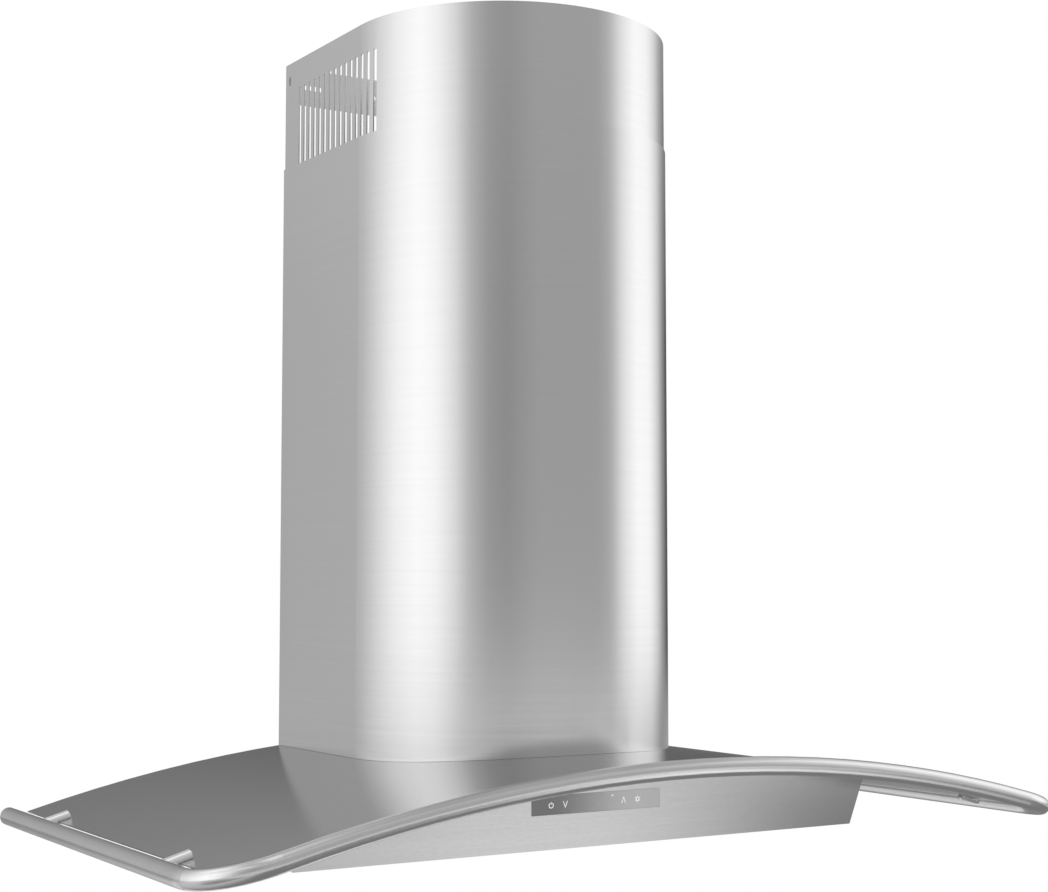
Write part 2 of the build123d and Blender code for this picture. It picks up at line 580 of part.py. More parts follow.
# Baffle filters
baffle_length = filter_depth - 2 * FILTER_SHEET - 2 * BAFFLE_PLAY
baffle_room = filter_width - 2 * FILTER_SHEET - BAFFLE_WIDTH
baffle_count = int(baffle_room / BAFFLE_PITCH) + 1
floor_z = bottom + FILTER_SHEET + BAFFLE_PLAY
roof_z = bottom + FILTER_HEIGHT - FILTER_SHEET - BAFFLE_PLAY
for hand, side in sides.items():
    centre_x = side * filter_x
    with BuildPart() as filter_frame:
        with BuildSketch(Plane.XY.offset(bottom)):
            with Locations((centre_x, filter_y)):
                Rectangle(filter_width, filter_depth)
        extrude(amount=FILTER_HEIGHT)
        with BuildSketch(Plane.XY.offset(bottom + FILTER_SHEET)):
            with Locations((centre_x, filter_y)):
                Rectangle(filter_width - 2 * FILTER_SHEET, filter_depth - 2 * FILTER_SHEET)
        extrude(amount=FILTER_HEIGHT - 2 * FILTER_SHEET, mode=Mode.SUBTRACT)
        with BuildSketch(Plane.XY.offset(bottom)):
            with Locations((centre_x, filter_y)):
                Rectangle(filter_width - 2 * FILTER_FLANGE, filter_depth - 2 * FILTER_FLANGE)
        extrude(amount=FILTER_HEIGHT, mode=Mode.SUBTRACT)
        with BuildSketch(Plane.XY.offset(bottom + BODY_SHEET + TONGUE_CLEARANCE)):
            with Locations((centre_x, -FILTER_REAR_STRIP - FILTER_PLAY - FILTER_SHEET)):
                with GridLocations(TONGUE_SPAN, 0, 2, 1):
                    tongue = TONGUE_REACH + FILTER_PLAY + FILTER_SHEET
                    Rectangle(TONGUE_WIDTH, tongue, align=(Align.CENTER, Align.MIN))
        extrude(amount=FILTER_SHEET)
    save(filter_frame, f"filter_frame_{hand}")

    with BuildPart() as filter_baffles:
        with BuildSketch(Plane.XZ.offset(FILTER_REAR_STRIP + FILTER_PLAY + FILTER_SHEET + BAFFLE_PLAY)):
            with Locations((centre_x, floor_z)):
                with GridLocations(BAFFLE_PITCH, 0, baffle_count, 1):
                    Rectangle(BAFFLE_WIDTH, BAFFLE_HEIGHT, align=(Align.CENTER, Align.MIN))
                    with Locations((0, BAFFLE_SHEET)):
                        inner = BAFFLE_WIDTH - 2 * BAFFLE_SHEET
                        Rectangle(inner, BAFFLE_HEIGHT, align=(Align.CENTER, Align.MIN), mode=Mode.SUBTRACT)
            with Locations((centre_x, roof_z)):
                with GridLocations(BAFFLE_PITCH, 0, baffle_count - 1, 1):
                    Rectangle(BAFFLE_WIDTH, BAFFLE_SHEET, align=(Align.CENTER, Align.MAX))
                    with GridLocations(BAFFLE_WIDTH - BAFFLE_SHEET, 0, 2, 1):
                        Rectangle(BAFFLE_SHEET, BAFFLE_HEIGHT, align=(Align.CENTER, Align.MAX))
        extrude(amount=baffle_length)
    save(filter_baffles, f"filter_baffles_{hand}")

    with BuildPart() as filter_handle:
        handle_y = -filter_front + FILTER_PLAY + FILTER_FLANGE / 2
        with BuildSketch(Plane.XZ.offset(-handle_y - HANDLE_WIDTH / 2)):
            with BuildLine():
                foot = HANDLE_SPAN / 2 + HANDLE_FOOT
                grip = HANDLE_SPAN / 2 - HANDLE_DROP
                FilletPolyline(
                    (centre_x - foot, bottom - HANDLE_STRIP / 2),
                    (centre_x - HANDLE_SPAN / 2, bottom - HANDLE_STRIP / 2),
                    (centre_x - grip, bottom - HANDLE_DROP),
                    (centre_x + grip, bottom - HANDLE_DROP),
                    (centre_x + HANDLE_SPAN / 2, bottom - HANDLE_STRIP / 2),
                    (centre_x + foot, bottom - HANDLE_STRIP / 2),
                    radius=HANDLE_BEND,
                )
            trace(line_width=HANDLE_STRIP)
        extrude(amount=HANDLE_WIDTH)
    save(filter_handle, f"filter_handle_{hand}")


# Chimney
def chimney_line(half):
    """Outline of a chimney sheet of one thickness, a U that is open at the wall."""
    inner = half - CHIMNEY_SHEET
    Line((-half, 0), (-half, -CHIMNEY_FLAT))
    ThreePointArc((-half, -CHIMNEY_FLAT), (0, -CHIMNEY_FLAT - half), (half, -CHIMNEY_FLAT))
    Line((half, -CHIMNEY_FLAT), (half, 0))
    Line((half, 0), (inner, 0))
    Line((inner, 0), (inner, -CHIMNEY_FLAT))
    ThreePointArc((inner, -CHIMNEY_FLAT), (0, -CHIMNEY_FLAT - inner), (-inner, -CHIMNEY_FLAT))
    Line((-inner, -CHIMNEY_FLAT), (-inner, 0))
    Line((-inner, 0), (-half, 0))


with BuildPart() as lower_chimney:
    chimney_foot = arch_height(chimney_half, ARCH_RADIUS)
    with BuildSketch(Plane.XY.offset(chimney_foot)):
        with BuildLine():
            chimney_line(chimney_half)
        make_face()
    extrude(amount=lower_rim - chimney_foot)
    with Locations((0, 0, arch_centre)):
        Cylinder(arch_over, 2 * RAIL_REACH, rotation=(90, 0, 0), mode=Mode.SUBTRACT)
save(lower_chimney, "lower_chimney")


def slot_position(index):
    """Distance from the wall of one vent slot, stepped along the sheet round the curve."""
    run = SLOT_FIRST + index * SLOT_PITCH
    if run <= CHIMNEY_FLAT:
        return run
    return CHIMNEY_FLAT + upper_half * sin((run - CHIMNEY_FLAT) / upper_half)


with BuildPart() as upper_chimney:
    with BuildSketch(Plane.XY.offset(upper_rim - UPPER_LENGTH)):
        with BuildLine():
            chimney_line(upper_half)
        make_face()
    extrude(amount=UPPER_LENGTH)
    with BuildSketch(Plane.YZ):
        slot_z = upper_rim - SLOT_TOP - SLOT_LENGTH / 2
        with Locations(*[(-slot_position(index), slot_z) for index in range(SLOT_COUNT)]):
            Rectangle(SLOT_WIDTH, SLOT_LENGTH)
        with Locations((-SCREW_SLOT_INSET, upper_rim - SCREW_SLOT_DROP)):
            SlotOverall(SCREW_SLOT_LENGTH, SCREW_SLOT_WIDTH, rotation=90)
    extrude(amount=chimney_half, both=True, mode=Mode.SUBTRACT)
save(upper_chimney, "upper_chimney")

with BuildPart() as chimney_bracket:
    bracket_low = upper_rim - BRACKET_DROP
    bracket_half = upper_half - CHIMNEY_SHEET - BRACKET_PLAY
    with BuildSketch(Plane.XZ):
        with Locations((0, bracket_low)):
            Rectangle(2 * bracket_half, BRACKET_HEIGHT, align=(Align.CENTER, Align.MIN))
        with Locations((0, bracket_low + BRACKET_HEIGHT / 2)):
            with GridLocations(BRACKET_SCREW_SPAN, 0, 2, 1):
                Circle(BRACKET_SCREW_HOLE / 2, mode=Mode.SUBTRACT)
            with GridLocations(BRACKET_SLOT_SPAN, 0, 2, 1):
                SlotOverall(BRACKET_SLOT_LENGTH, BRACKET_SLOT_WIDTH, mode=Mode.SUBTRACT)
    extrude(amount=BRACKET_SHEET)
    with BuildSketch(Plane.XY.offset(bracket_low)):
        with Locations((-bracket_half + BRACKET_SHEET / 2, 0), (bracket_half - BRACKET_SHEET / 2, 0)):
            Rectangle(BRACKET_SHEET, BRACKET_TAB_DEPTH, align=(Align.CENTER, Align.MAX))
    extrude(amount=BRACKET_TAB_HEIGHT)
    with BuildSketch(Plane.YZ):
        with Locations((-SCREW_SLOT_INSET, upper_rim - SCREW_SLOT_DROP)):
            Circle(SCREW_SLOT_WIDTH / 2)
    extrude(amount=chimney_half, both=True, mode=Mode.SUBTRACT)
save(chimney_bracket, "chimney_bracket")

for hand, side in sides.items():
    with BuildPart() as chimney_foot_angle:
        outer = chimney_half - CHIMNEY_SHEET - SEAM
        inner = outer - FOOT_LEG
        outer_z = arch_height(outer, arch_over)
        inner_z = arch_height(inner, arch_over)
        with BuildSketch(Plane.XZ.offset(FOOT_CENTRE - FOOT_LENGTH / 2)):
            Polygon(
                (side * outer, outer_z),
                (side * outer, outer_z + FOOT_LEG),
                (side * (outer - FOOT_SHEET), outer_z + FOOT_LEG),
                (side * (outer - FOOT_SHEET), outer_z + FOOT_SHEET),
                (side * inner, inner_z + FOOT_SHEET),
                (side * inner, inner_z),
                align=None,
            )
        extrude(amount=FOOT_LENGTH)
        with Locations((0, 0, arch_centre)):
            Cylinder(arch_over, 2 * RAIL_REACH, rotation=(90, 0, 0), mode=Mode.SUBTRACT)
    save(chimney_foot_angle, f"chimney_foot_{hand}")

# Blower casing
scroll_start = Vector(fan_y - SCROLL_STEP / 2, fan_z - SCROLL_STEP / 2)
scroll_cutoff = scroll_start + Vector(0, SCROLL_START)
scroll_rear = fan_y + SCROLL_STEP / 2 + SCROLL_START + 2 * SCROLL_STEP
outlet_depth = scroll_rear - scroll_cutoff.X
collar_y = (scroll_rear + scroll_cutoff.X) / 2
scroll_top = box_top - BOX_SHEET


def scroll_line():
    """Volute of three growing quarter arcs between the two straight walls of its outlet."""
    centre = scroll_start
    radius = SCROLL_START
    Line((scroll_cutoff.X, scroll_top), scroll_cutoff)
    CenterArc(centre, radius, 90, 90)
    centre = centre + Vector(SCROLL_STEP, 0)
    radius = radius + SCROLL_STEP
    CenterArc(centre, radius, 180, 90)
    centre = centre + Vector(0, SCROLL_STEP)
    radius = radius + SCROLL_STEP
    CenterArc(centre, radius, 270, 90)
    Line((scroll_rear, centre.Y), (scroll_rear, scroll_top))


with BuildPart() as blower_box:
    box_low = arch_height(BOX_WIDTH / 2, ARCH_RADIUS)
    with BuildSketch(Plane.XY.offset(box_low)):
        with Locations((0, box_y)):
            Rectangle(BOX_WIDTH, BOX_DEPTH)
    extrude(amount=box_top - box_low)
    with BuildSketch(Plane.XY.offset(box_low)):
        with Locations((0, box_y)):
            Rectangle(BOX_WIDTH - 2 * BOX_SHEET, BOX_DEPTH - 2 * BOX_SHEET)
    extrude(amount=box_top - box_low - BOX_SHEET, mode=Mode.SUBTRACT)
    with BuildSketch(Plane.XY.offset(box_top)):
        with Locations((0, collar_y)):
            Rectangle(SCROLL_WIDTH - 2 * SCROLL_SHEET, outlet_depth - 4 * SCROLL_SHEET)
    extrude(amount=-2 * BOX_SHEET, mode=Mode.SUBTRACT)
    with Locations((0, 0, arch_centre)):
        Cylinder(arch_over, 2 * RAIL_REACH, rotation=(90, 0, 0), mode=Mode.SUBTRACT)
save(blower_box, "blower_box")

with BuildPart() as blower_scroll:
    with BuildSketch(Plane.YZ.offset(-scroll_half)):
        with BuildLine():
            scroll_line()
        trace(line_width=SCROLL_SHEET)
        with Locations((collar_y, scroll_top)):
            trim_width = 2 * outlet_depth
            Rectangle(trim_width, SCROLL_STEP, align=(Align.CENTER, Align.MIN), mode=Mode.SUBTRACT)
    extrude(amount=SCROLL_WIDTH)
save(blower_scroll, "blower_scroll")

for hand, side in sides.items():
    with BuildPart() as blower_side:
        with BuildSketch(Plane.YZ.offset(side * scroll_half)):
            with BuildLine():
                scroll_line()
                Line((scroll_rear, scroll_top), (scroll_cutoff.X, scroll_top))
            make_face()
            with Locations((fan_y, fan_z)):
                Circle(INLET_DIAMETER / 2, mode=Mode.SUBTRACT)
        extrude(amount=side * SCROLL_SHEET)
    save(blower_side, f"blower_side_{hand}")

# Motor and fan, on one axis along X
motor_face = -scroll_half - SCROLL_SHEET - MOTOR_GAP
motor_bore_end = motor_face - MOTOR_LENGTH + MOTOR_END_WALL
shaft_left = motor_bore_end + SHAFT_END_GAP
with BuildPart() as motor:
    with BuildSketch(Plane.YZ.offset(motor_face)):
        with Locations((fan_y, fan_z)):
            Circle(MOTOR_DIAMETER / 2)
    extrude(amount=-MOTOR_LENGTH)
    with BuildSketch(Plane.YZ.offset(motor_face)):
        with Locations((fan_y, fan_z)):
            Circle(MOTOR_CAP / 2)
    extrude(amount=MOTOR_CAP_HEIGHT)
    with BuildSketch(Plane.YZ.offset(motor_face + MOTOR_CAP_HEIGHT)):
        with Locations((fan_y, fan_z)):
            Circle(SHAFT_DIAMETER / 2 + SHAFT_PLAY)
    extrude(amount=motor_bore_end - motor_face - MOTOR_CAP_HEIGHT, mode=Mode.SUBTRACT)
save(motor, "motor")

with BuildPart() as motor_bracket:
    band_inner = MOTOR_DIAMETER / 2 + MOTOR_BAND_PLAY
    band_outer = band_inner + MOTOR_BAND_SHEET
    arm_start = motor_face - MOTOR_LENGTH / 2
    arm_length = MOTOR_ARM_RADIUS - band_outer + MOTOR_BAND_SHEET
    with BuildSketch(Plane.YZ.offset(arm_start)):
        with Locations((fan_y, fan_z)):
            Circle(band_outer)
            Circle(band_inner, mode=Mode.SUBTRACT)
    extrude(amount=MOTOR_BAND)
    with BuildSketch(Plane.YZ.offset(arm_start)):
        with Locations((fan_y, fan_z)):
            with PolarLocations(MOTOR_ARM_RADIUS - arm_length / 2, MOTOR_ARMS, start_angle=90):
                Rectangle(arm_length, MOTOR_ARM_WIDTH)
    extrude(amount=MOTOR_BAND_SHEET)
    with BuildSketch(Plane.YZ.offset(arm_start)):
        with Locations((fan_y, fan_z)):
            with PolarLocations(MOTOR_ARM_RADIUS - MOTOR_BAND_SHEET / 2, MOTOR_ARMS, start_angle=90):
                Rectangle(MOTOR_BAND_SHEET, MOTOR_ARM_WIDTH)
    extrude(amount=-scroll_half - SCROLL_SHEET - arm_start)
save(motor_bracket, "motor_bracket")

with BuildPart() as motor_shaft:
    with BuildSketch(Plane.YZ.offset(shaft_left)):
        with Locations((fan_y, fan_z)):
            Circle(SHAFT_DIAMETER / 2)
    extrude(amount=SHAFT_RIGHT - shaft_left)
    chamfer(motor_shaft.edges().filter_by(GeomType.CIRCLE), length=SHAFT_CHAMFER)
save(motor_shaft, "motor_shaft")

with BuildPart() as impeller:
    fan_radius = FAN_DIAMETER / 2
    with BuildSketch(Plane.YZ.offset(-FAN_WIDTH / 2)):
        with Locations((fan_y, fan_z)):
            with PolarLocations(fan_radius - FAN_RING / 2, FAN_BLADES):
                Rectangle(FAN_BLADE_CHORD, FAN_SHEET, rotation=FAN_BLADE_PITCH)
    extrude(amount=FAN_WIDTH)
    with BuildSketch(Plane.YZ.offset(-FAN_WIDTH / 2), Plane.YZ.offset(FAN_WIDTH / 2 - FAN_SHEET)):
        with Locations((fan_y, fan_z)):
            Circle(fan_radius)
            Circle(fan_radius - FAN_RING, mode=Mode.SUBTRACT)
    extrude(amount=FAN_SHEET)
    with BuildSketch(Plane.YZ.offset(-FAN_SHEET / 2)):
        with Locations((fan_y, fan_z)):
            Circle(fan_radius)
    extrude(amount=FAN_SHEET)
    with BuildSketch(Plane.YZ.offset(-FAN_HUB_LENGTH / 2)):
        with Locations((fan_y, fan_z)):
            Circle(FAN_HUB / 2)
    extrude(amount=FAN_HUB_LENGTH)
    with BuildSketch(Plane.YZ):
        with Locations((fan_y, fan_z)):
            Circle(SHAFT_DIAMETER / 2 + SHAFT_PLAY)
    extrude(amount=FAN_HUB_LENGTH, both=True, mode=Mode.SUBTRACT)
save(impeller, "impeller")

# Duct outlet with its damper
collar_radius = COLLAR_DIAMETER / 2
collar_bore = collar_radius - COLLAR_SHEET
pin_z = box_top + DAMPER_LINE
flap_low = pin_z - DAMPER_SHEET / 2
with BuildPart() as outlet_collar:
    with BuildSketch(Plane.XY.offset(box_top)):
        with Locations((0, collar_y)):
            Circle(collar_radius + COLLAR_FLANGE)
            Circle(collar_bore, mode=Mode.SUBTRACT)
    extrude(amount=COLLAR_SHEET)
    with BuildSketch(Plane.XY.offset(box_top)):
        with Locations((0, collar_y)):
            Circle(collar_radius)
            Circle(collar_bore, mode=Mode.SUBTRACT)
    extrude(amount=COLLAR_HEIGHT)
    with BuildSketch(Plane.XY.offset(flap_low - DAMPER_REST_GAP - LEDGE_SHEET)):
        with Locations((0, collar_y)):
            Circle(collar_bore + COLLAR_SHEET / 2)
            Circle(collar_bore - LEDGE, mode=Mode.SUBTRACT)
    extrude(amount=LEDGE_SHEET)
    with BuildSketch(Plane.YZ):
        with Locations((collar_y, pin_z)):
            Circle(DAMPER_PIN / 2 + DAMPER_PLAY)
    extrude(amount=collar_radius - COLLAR_SHEET / 2, both=True, mode=Mode.SUBTRACT)
save(outlet_collar, "outlet_collar")

with BuildPart() as damper_pin:
    with BuildSketch(Plane.YZ):
        with Locations((collar_y, pin_z)):
            Circle(DAMPER_PIN / 2)
    extrude(amount=collar_bore + COLLAR_SHEET / 4, both=True)
save(damper_pin, "damper_pin")

for place, facing in {"front": -1, "rear": 1}.items():
    knuckle_centres = [facing * KNUCKLE_PITCH / 2, -facing * 1.5 * KNUCKLE_PITCH]
    with BuildPart() as damper_flap:
        flap_edge = KNUCKLE_DIAMETER / 2 + KNUCKLE_GAP
        with BuildSketch(Plane.XY.offset(flap_low)):
            with Locations((0, collar_y)):
                Circle(collar_bore - DAMPER_RIM_GAP)
                flap_align = (Align.CENTER, Align.MAX if facing > 0 else Align.MIN)
                with Locations((0, facing * flap_edge)):
                    Rectangle(COLLAR_DIAMETER, COLLAR_DIAMETER, align=flap_align, mode=Mode.SUBTRACT)
                with Locations(*[(x, facing * flap_edge / 2) for x in knuckle_centres]):
                    Rectangle(KNUCKLE_LENGTH, flap_edge)
        extrude(amount=DAMPER_SHEET)
        for x in knuckle_centres:
            with BuildSketch(Plane.YZ.offset(x - KNUCKLE_LENGTH / 2)):
                with Locations((collar_y, pin_z)):
                    Circle(KNUCKLE_DIAMETER / 2)
            extrude(amount=KNUCKLE_LENGTH)
        with BuildSketch(Plane.YZ):
            with Locations((collar_y, pin_z)):
                Circle(DAMPER_PIN / 2 + DAMPER_PLAY)
        extrude(amount=collar_radius, both=True, mode=Mode.SUBTRACT)
    save(damper_flap, f"damper_flap_{place}")

# Mains connection, on top of the blower box
junction_rear = collar_y - collar_radius - COLLAR_FLANGE - JUNCTION_GAP
junction_y = junction_rear - JUNCTION_DEPTH / 2
junction_rim = box_top + JUNCTION_HEIGHT
cover_screw_span = JUNCTION_WIDTH - 2 * JUNCTION_SHEET - COVER_EAR
gland_z = box_top + JUNCTION_HEIGHT / 2
with BuildPart() as junction_box:
    with BuildSketch(Plane.XY.offset(box_top)):
        with Locations((0, junction_y)):
            Rectangle(JUNCTION_WIDTH, JUNCTION_DEPTH)
    extrude(amount=JUNCTION_HEIGHT)
    with BuildSketch(Plane.XY.offset(box_top + JUNCTION_SHEET)):
        with Locations((0, junction_y)):
            Rectangle(JUNCTION_WIDTH - 2 * JUNCTION_SHEET, JUNCTION_DEPTH - 2 * JUNCTION_SHEET)
    extrude(amount=JUNCTION_HEIGHT, mode=Mode.SUBTRACT)
    with BuildSketch(Plane.XY.offset(junction_rim - JUNCTION_SHEET)):
        with Locations((0, junction_y)):
            with GridLocations(cover_screw_span, 0, 2, 1):
                Rectangle(COVER_EAR + JUNCTION_SHEET, COVER_EAR_WIDTH)
    extrude(amount=JUNCTION_SHEET)
    with BuildSketch(Plane.XY.offset(junction_rim)):
        with Locations((0, junction_y)):
            with GridLocations(cover_screw_span, 0, 2, 1):
                Circle(COVER_SCREW_DIAMETER / 2 + COVER_SCREW_PLAY)
    extrude(amount=-2 * JUNCTION_SHEET, mode=Mode.SUBTRACT)
    with BuildSketch(Plane.YZ.offset(-JUNCTION_WIDTH / 2)):
        with Locations((junction_y, gland_z)):
            Circle(GLAND_THREAD / 2 + GLAND_PLAY)
    extrude(amount=2 * JUNCTION_SHEET, mode=Mode.SUBTRACT)
save(junction_box, "junction_box")

with BuildPart() as junction_cover:
    with BuildSketch(Plane.XY.offset(junction_rim)):
        with Locations((0, junction_y)):
            Rectangle(JUNCTION_WIDTH, JUNCTION_DEPTH)
            with GridLocations(cover_screw_span, 0, 2, 1):
                Circle(COVER_SCREW_DIAMETER / 2 + COVER_SCREW_PLAY, mode=Mode.SUBTRACT)
    extrude(amount=JUNCTION_SHEET)
save(junction_cover, "junction_cover")

with BuildPart() as cover_screws:
    with BuildSketch(Plane.XY.offset(junction_rim + JUNCTION_SHEET)):
        with Locations((0, junction_y)):
            with GridLocations(cover_screw_span, 0, 2, 1):
                Circle(COVER_SCREW_HEAD / 2)
    extrude(amount=COVER_SCREW_HEAD_HEIGHT)
    with BuildSketch(Plane.XY.offset(junction_rim + JUNCTION_SHEET)):
        with Locations((0, junction_y)):
            with GridLocations(cover_screw_span, 0, 2, 1):
                Circle(COVER_SCREW_DIAMETER / 2)
    extrude(amount=-COVER_SCREW_LENGTH)
save(cover_screws, "cover_screws")

with BuildPart() as cable_gland:
    wall_x = -JUNCTION_WIDTH / 2
    with BuildSketch(Plane.YZ.offset(wall_x)):
        with Locations((junction_y, gland_z)):
            RegularPolygon(GLAND_HEAD / 2, 6)
    extrude(amount=-GLAND_HEAD_LENGTH)
    with BuildSketch(Plane.YZ.offset(wall_x)):
        with Locations((junction_y, gland_z)):
            Circle(GLAND_THREAD / 2)
    extrude(amount=JUNCTION_SHEET + GLAND_NUT_LENGTH)
    with BuildSketch(Plane.YZ.offset(wall_x + JUNCTION_SHEET)):
        with Locations((junction_y, gland_z)):
            RegularPolygon(GLAND_HEAD / 2, 6)
    extrude(amount=GLAND_NUT_LENGTH)
    with BuildSketch(Plane.YZ.offset(wall_x - GLAND_HEAD_LENGTH)):
        with Locations((junction_y, gland_z)):
            Circle(GLAND_BORE / 2)
    extrude(amount=GLAND_HEAD_LENGTH + JUNCTION_SHEET + GLAND_NUT_LENGTH, mode=Mode.SUBTRACT)
save(cable_gland, "cable_gland")

with BuildPart() as motor_capacitor:
    capacitor_z = box_top + JUNCTION_SHEET + CAPACITOR_DIAMETER / 2
    with BuildSketch(Plane.YZ.offset(CAPACITOR_SHIFT - CAPACITOR_LENGTH / 2)):
        with Locations((junction_y, capacitor_z)):
            Circle(CAPACITOR_DIAMETER / 2)
    extrude(amount=CAPACITOR_LENGTH)
    fillet(motor_capacitor.edges().filter_by(GeomType.CIRCLE), radius=CAPACITOR_FILLET)
save(motor_capacitor, "motor_capacitor")
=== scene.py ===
"""Looks of the wall mount range hood: finishes, touch symbols, studio and camera."""

import math

import bmesh
import bpy
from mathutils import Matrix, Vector


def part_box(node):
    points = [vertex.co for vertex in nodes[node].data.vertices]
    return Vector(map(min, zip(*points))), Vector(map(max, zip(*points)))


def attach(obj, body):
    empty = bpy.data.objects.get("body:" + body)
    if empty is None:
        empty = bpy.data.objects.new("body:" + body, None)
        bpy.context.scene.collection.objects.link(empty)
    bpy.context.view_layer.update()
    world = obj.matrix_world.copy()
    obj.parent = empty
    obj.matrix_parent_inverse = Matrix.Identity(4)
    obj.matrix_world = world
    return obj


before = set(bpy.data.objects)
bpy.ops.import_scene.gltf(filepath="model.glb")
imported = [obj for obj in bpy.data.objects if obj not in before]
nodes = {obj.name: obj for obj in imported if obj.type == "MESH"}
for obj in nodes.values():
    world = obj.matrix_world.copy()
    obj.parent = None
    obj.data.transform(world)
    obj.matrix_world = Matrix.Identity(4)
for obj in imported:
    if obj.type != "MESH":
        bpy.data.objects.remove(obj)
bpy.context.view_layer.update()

MM = 0.001
FULL_TURN = 360
WHITE = (1.0, 1.0, 1.0, 1.0)

# Camera, from the photograph's vanishing lines
CAMERA_PLACE = (-0.9748, -1.7899, 0.2008)
CAMERA_YAW = math.radians(31.737)
CAMERA_PITCH = math.radians(4.147)
CAMERA_SENSOR = 36.0
CAMERA_LENS = 64.61
CAMERA_REACH = 50.0

# Studio floor: height under the origin, radius, where its fade to white starts, and shade
FLOOR_DROP = 0.95
FLOOR_RADIUS = 4.6
FLOOR_FADE = 2.4
FLOOR_SHADE = 0.80
ROUND_STEPS = 96

# Light ring round the studio: its form, and the heights between which its levels change over
RING_RADIUS = 6.2
RING_TOP = 6.0
RING_STRENGTH = 2.0
RING_RISE = (1.2, 6.0)
RING_HORIZON = (-0.08, -0.42)
RING_FOOT = (-0.55, -0.75)
RING_FOOT_LEVEL = 0.42

# Light level round the studio by direction: degrees from straight ahead, positive to the right
RING_LEVELS = [
    (-180, 0.16),
    (-165, 0.44),
    (-150, 0.64),
    (-132, 0.92),
    (-108, 1.42),
    (-90, 1.60),
    (-76, 1.52),
    (-64, 1.20),
    (-52, 0.70),
    (-40, 0.46),
    (-28, 0.40),
    (-8, 0.51),
    (36, 0.51),
    (46, 0.62),
    (58, 1.20),
    (72, 1.54),
    (88, 1.47),
    (100, 1.00),
    (112, 0.42),
    (125, 0.10),
    (160, 0.08),
]
LOW_LEVELS = [
    (-180, 0.50),
    (-150, 0.64),
    (-120, 1.10),
    (-90, 1.46),
    (-75, 1.36),
    (-60, 1.00),
    (-30, 0.98),
    (10, 0.98),
    (30, 0.82),
    (44, 0.92),
    (58, 1.02),
    (72, 1.05),
    (91, 0.80),
    (98, 0.55),
    (106, 0.36),
    (118, 0.40),
    (160, 0.50),
]
HIGH_LEVELS = [
    (-180, 0.80),
    (-150, 0.80),
    (-90, 1.60),
    (-52, 0.60),
    (36, 0.60),
    (72, 1.60),
    (112, 0.80),
    (160, 1.00),
]

# Soft cards, seen only in reflections: place and size in metres, turn in degrees
CARDS = {
    "ceiling_card": {
        "centre": (1.2, 0.0, 5.6),
        "size": (8.6, 10.4),
        "level": 0.5,
        "edge": (1.0, 1.0),
    },
    "floor_strip": {
        "centre": (1.37, -2.13, -0.92),
        "size": (0.46, 2.9),
        "level": 1.9,
        "edge": (0.15, 0.35),
        "turn": 27.0,
    },
    "under_flag": {
        "centre": (1.9, 0.8, -0.93),
        "size": (6.2, 8.4),
        "level": 0.26,
        "edge": (0.9, 0.9),
    },
    "rear_strip": {
        "centre": (-1.05, 1.57, -0.92),
        "size": (4.6, 0.9),
        "level": 1.35,
        "edge": (0.3, 0.3),
        "turn": -40.0,
    },
    "rear_flag": {
        "centre": (-1.4, 3.9, -0.94),
        "size": (4.8, 5.0),
        "level": 0.24,
        "edge": (0.6, 0.6),
    },
    "left_flag": {
        "centre": (-2.4, -1.3, -0.93),
        "size": (2.6, 2.6),
        "level": 0.32,
        "edge": (0.4, 0.6),
    },
    "peg_card": {
        "centre": (-0.4, -1.0, 5.5),
        "size": (2.6, 6.4),
        "level": 1.3,
        "edge": (1.1, 2.4),
    },
    "bend_card": {
        "centre": (-3.2, 3.0, 5.5),
        "size": (5.4, 5.4),
        "level": 1.45,
        "edge": (1.8, 1.8),
    },
    "panel_card": {
        "centre": (1.45, -2.5, -0.40),
        "size": (1.66, 0.52),
        "level": 1.0,
        "edge": (0.53, 0.14),
        "upright": True,
    },
    "panel_flag": {
        "centre": (1.02, -1.0, -0.19),
        "size": (1.2, 0.34),
        "level": 0.25,
        "edge": (0.53, 0.1),
        "upright": True,
    },
}

# Brushed sheet: noise cells to the metre along and across the brushing
STREAK_CELLS = (7.0, 1700.0)
BAND_CELLS = (2.5, 260.0)
DASH_CELLS = (150.0, 520.0)
BAND_SHARE = 0.45

# Touch strip: shades of its two ends, and how much of its width each keeps
FILM_DARK = 0.20
FILM_PALE = 0.59
FILM_DARK_WIDTH = 0.1
FILM_PALE_WIDTH = 0.15
FILM_CELLS = (7.0, 900.0, 1700.0)

# Touch symbols: size, stroke and its mitre limit, height of the print, and places along the strip
ICON_SIZE = 5.5 * MM
ICON_STROKE = 0.75 * MM
ICON_MITRE_LIMIT = 0.5
ICON_HEIGHT = 0.06 * MM
ICON_PLACES = {
    "power": -49.8 * MM,
    "less": -34.5 * MM,
    "dot": 17.3 * MM,
    "more": 29.8 * MM,
    "light": 45.5 * MM,
}
ICON_DOT_RISE = 5.0 * MM

# Forms of the touch symbols, with lengths in half sizes and angles in degrees
POWER_RADIUS = 0.85
POWER_OFFSET = 0.1
POWER_ARC = (125, 415)
POWER_STEPS = 20
CHEVRON_WIDTH = 0.8
LIGHT_RADIUS = 0.6
LIGHT_STEPS = 20
LIGHT_RAY = (0.8, 1.1)
LIGHT_RAY_PITCH = 60
LIGHT_RAY_START = 30
DOT_RADIUS = 0.22
DOT_STEPS = 12


